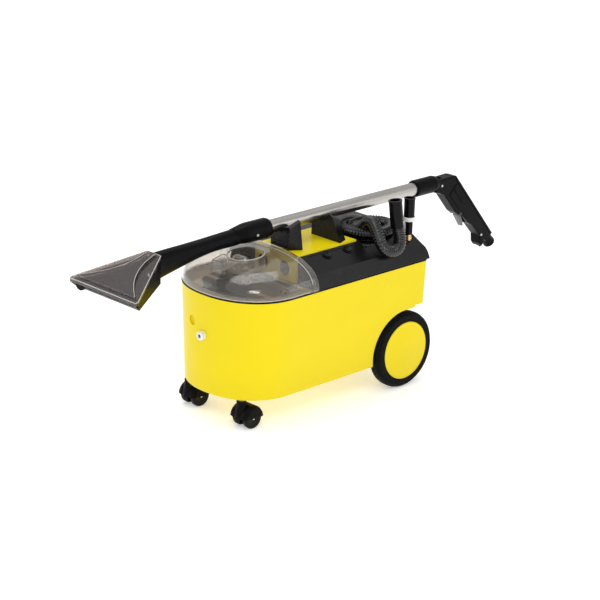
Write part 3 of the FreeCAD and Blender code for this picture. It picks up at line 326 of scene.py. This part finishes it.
def paint_nodes(hose):
    """Give every CAD node its finish."""
    black = grained_black("grained_black", (0.003, 0.003, 0.0033), 0.44)
    deck = grained_black("deck_black", (0.004, 0.004, 0.0045), 0.26, 0.0012, 0.00010, 0.22)
    wand = grained_black("wand_black", (0.0035, 0.003, 0.0033), 0.32, 0.0007, 0.00006)
    gloss = polished_black()
    yellow = yellow_plastic()
    grey = moulded("grey_plastic", (0.17, 0.17, 0.18), (0.25, 0.24, 0.22))
    white = moulded("white_plastic", (0.80, 0.80, 0.78), (0.66, 0.64, 0.58), 0.35)
    steel = turned_metal("turned_steel", (0.56, 0.56, 0.57), 0.34)
    finishes = {
        yellow: "housing crown_cover near_hub_cap far_hub_cap",
        deck: "deck_cover control_panel front_bracket rear_bracket",
        black: "tank_bail lint_strainer suction_port mains_gland pressure_hose"
               " near_caster_fork far_caster_fork rim_gasket",
        wand: "wand_neck nozzle_body near_handle_half far_handle_half hose_stub spray_line",
        gloss: "pump_switch turbine_switch hose_cuff adapter_tube near_caster_wheels"
               " far_caster_wheels",
        grey: "near_wheel far_wheel motor_stand intake_duct solution_pump drain_plug trigger",
        white: "float_ball inlet_strainer pump_inlet_hose drain_spout adapter_ring",
        steel: "rear_axle near_caster_pins far_caster_pins turbine_motor fan_housing wand_screws",
        tyre_rubber(): "near_tyre far_tyre",
        brushed_aluminium(): "wand_tube",
        hose: "suction_duct hose_coil hose_end",
        turned_metal("turned_brass", (0.78, 0.56, 0.24), 0.28):
            "spray_coupling spray_jet adapter_fitting",
        # beige tank, its colour darkened as painted shade under the lid
        moulded("beige_plastic", (0.30, 0.22, 0.12), (0.20, 0.14, 0.07)): "waste_tank",
        clear_plastic("clear_lid", (0.88, 0.84, 0.78), 0.04, (0.76, 0.72, 0.66), 0.94):
            "dome_lid lid_grip float_cage",
        clear_plastic("smoky_cover", (0.48, 0.42, 0.40), 0.06, (0.38, 0.33, 0.31), 0.93):
            "nozzle_cover",
    }
    for material, names in finishes.items():
        for name in names.split():
            node = NODES[name]
            node.data.materials.clear()
            node.data.materials.append(material)


# ---- hose ------------------------------------------------------------------
def hose_route():
    """Control points: three layers of two turns, a last quarter turn, then the free end.

    The hose changes its turn and its layer only over the last quarter of each round.
    """
    outer, inner = COIL_RADII
    low, middle, high = COIL_LAYERS
    rounds = [(outer, inner, low, low), (inner, inner, low, middle),
              (inner, outer, middle, middle), (outer, outer, middle, high),
              (outer, inner, high, high), (inner, inner, high, high)]
    points = []
    for number, (radius, next_radius, z, next_z) in enumerate(rounds):
        for step in range(12 if number < 5 else 3):
            late = max(0.0, (step - 8) / 4)
            smooth = late * late * (3 - 2 * late)
            angle = math.pi + step * math.pi / 6
            reach = radius + (next_radius - radius) * smooth
            points.append((COIL_CENTRE[0] + reach * math.cos(angle),
                           COIL_CENTRE[1] + reach * math.sin(angle),
                           z + (next_z - z) * smooth))
    return [mm(*p) for p in points + HOSE_END]


def spline_points(route):
    """Points along the route's smooth spline."""
    data = bpy.data.curves.new("hose_route", "CURVE")
    data.dimensions = "3D"
    data.resolution_u = 10
    spline = data.splines.new("NURBS")
    spline.points.add(len(route) - 1)
    for point, place in zip(spline.points, route):
        point.co = (*place, 1)
    spline.order_u = 3
    spline.use_endpoint_u = True
    holder = bpy.data.objects.new("hose_route", data)
    bpy.context.scene.collection.objects.link(holder)
    bpy.context.view_layer.update()
    mesh = bpy.data.meshes.new_from_object(holder)
    places = [v.co.copy() for v in mesh.vertices]
    bpy.data.objects.remove(holder)
    return places


def even_steps(places, step):
    """The same line, with points a fixed distance apart."""
    walked, kept, left = 0.0, [places[0]], step
    for a, b in zip(places, places[1:]):
        run = (b - a).length
        while run >= left:
            a = a.lerp(b, left / run)
            kept.append(a)
            run -= left
            left = step
        left -= run
    return kept


def tube_mesh(name, places, radius_at, sides=20):
    """Tube along places; radius_at gives its radius at a distance from the start."""
    made = bmesh.new()
    rows, along = [], 0.0
    side = Vector((0, 0, 1)).cross(places[1] - places[0]).normalized()
    for i, here in enumerate(places):
        before, after = places[max(i - 1, 0)], places[min(i + 1, len(places) - 1)]
        ahead = (after - before).normalized()
        side = (side - ahead * side.dot(ahead)).normalized()
        other = ahead.cross(side)
        along += (here - before).length
        radius = radius_at(along)
        rows.append([made.verts.new(here + (side * math.cos(t) + other * math.sin(t)) * radius)
                     for t in (2 * math.pi * k / sides for k in range(sides))])
    for low, high in zip(rows, rows[1:]):
        for k in range(sides):
            n = (k + 1) % sides
            made.faces.new((low[k], low[n], high[n], high[k]))
    made.faces.new(rows[0][::-1])
    made.faces.new(rows[-1])
    made.normal_update()
    mesh = bpy.data.meshes.new(name)
    made.to_mesh(mesh)
    made.free()
    mesh.shade_smooth()
    piece = bpy.data.objects.new(name, mesh)
    bpy.context.scene.collection.objects.link(piece)
    return piece


def make_bead(name, places, radius, body, material):
    """Thin rounded edge along places, on one body; in a pale finish it paints an edge highlight.
    """
    line = even_steps([mm(*p) for p in places], BEAD_STEP)
    bead = tube_mesh(name, line, lambda along: radius * MM, 8)
    bead.data.materials.append(material)
    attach(bead, body)


def dome_height(x, y, grow=0.0):
    """Height of the lid's outside at a place in plan."""
    share = (ARCH_Y - y) / (ARCH_Y + RIM_NOSE)
    rise = (DOME_RISE + grow) * (1 - share ** DOME_POWER) ** (1 / DOME_POWER)
    half = RIM_HALF + grow
    if y < 0:
        half *= (1 - (-y / RIM_NOSE) ** NOSE_POWER) ** (1 / NOSE_POWER)
    return LID_Z + rise * (1 - min(abs(x) / half, 1.0) ** 2.5) ** 0.4


def lid_rim():
    """Plan of the lid's lower edge: straight sides and a rounded nose."""
    plan = [(RIM_HALF, RIM_BEAD_REAR)]
    for k in range(41):
        t = math.pi * k / 40
        side = math.copysign(abs(math.cos(t)) ** 0.91, math.cos(t))
        plan.append((side * RIM_HALF, -RIM_NOSE * math.sin(t) ** 0.91))
    return plan + [(-RIM_HALF, RIM_BEAD_REAR)]


def make_edge_highlight_beads(material):
    """Rounded edges of the lid and of the nozzle's smoky cover, with pale beads as painted edge
    highlights.
    """
    turns = [2 * math.pi * k / 48 for k in range(49)]
    ring = [(WELL_RING_R * math.sin(t), WELL_Y - WELL_RING_R * math.cos(t)) for t in turns]
    make_bead("lid_well_highlight_bead", [(x, y, dome_height(x, y)) for x, y in ring], 1.5,
              "lid", material)
    arch = [RIM_HALF * math.cos(math.pi * k / 60) for k in range(2, 59)]
    make_bead("lid_arch_highlight_bead",
              [(x, ARCH_BEAD_Y, dome_height(x, ARCH_BEAD_Y, 1.5)) for x in arch], 1.0,
              "lid", material)
    make_bead("lid_rim_highlight_bead", [(x * 0.993, y * 0.993, LID_Z + 2.6) for x, y in lid_rim()], 1.3,
              "lid", material)
    make_bead("nozzle_cover_highlight_bead",
              [(x, y, COVER_BACK_Z + (y - COVER_BACK_Y) * COVER_SLOPE)
               for x, y in COVER_EDGE + COVER_EDGE[:1]],
              1.1, "wand", material)
    for side, name in ((1, "near"), (-1, "far")):
        flare = [(side * (FLARE_START + FLARE_SPREAD * (k / 24) ** FLARE_POWER),
                  FLARE_FROM - FLARE_LONG * k / 24) for k in range(25)]
        make_bead(name + "_trumpet_highlight_bead",
                  [(x, y, FLARE_Z + (y - FLARE_Y) * FLARE_SLOPE) for x, y in flare],
                  0.9, "wand", material)


def make_hose(material):
    route = hose_route()
    line = spline_points(route)
    steps = even_steps(line, RIB_PITCH * MM / 6)

    def radius(along):
        wave = math.cos(2 * math.pi * along / (RIB_PITCH * MM))
        return (HOSE_R - RIB_DEPTH * (0.5 - 0.5 * wave) ** 1.5) * MM

    hose = tube_mesh("ribbed_hose", steps, radius)
    hose.data.materials.append(material)
    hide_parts("hose_coil", "hose_end")
    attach(hose, "machine")


make_camera()
make_studio()
hose_finish = hose_plastic()
paint_nodes(hose_finish)
make_hose(hose_finish)
# Painted highlight: the beads' pale, half-clear finish draws the bright edge lines of the lid and
# nozzle cover.
make_edge_highlight_beads(clear_plastic("painted_edge_highlight", (0.86, 0.84, 0.80), 0.12,
                               (0.74, 0.72, 0.68), 0.45))
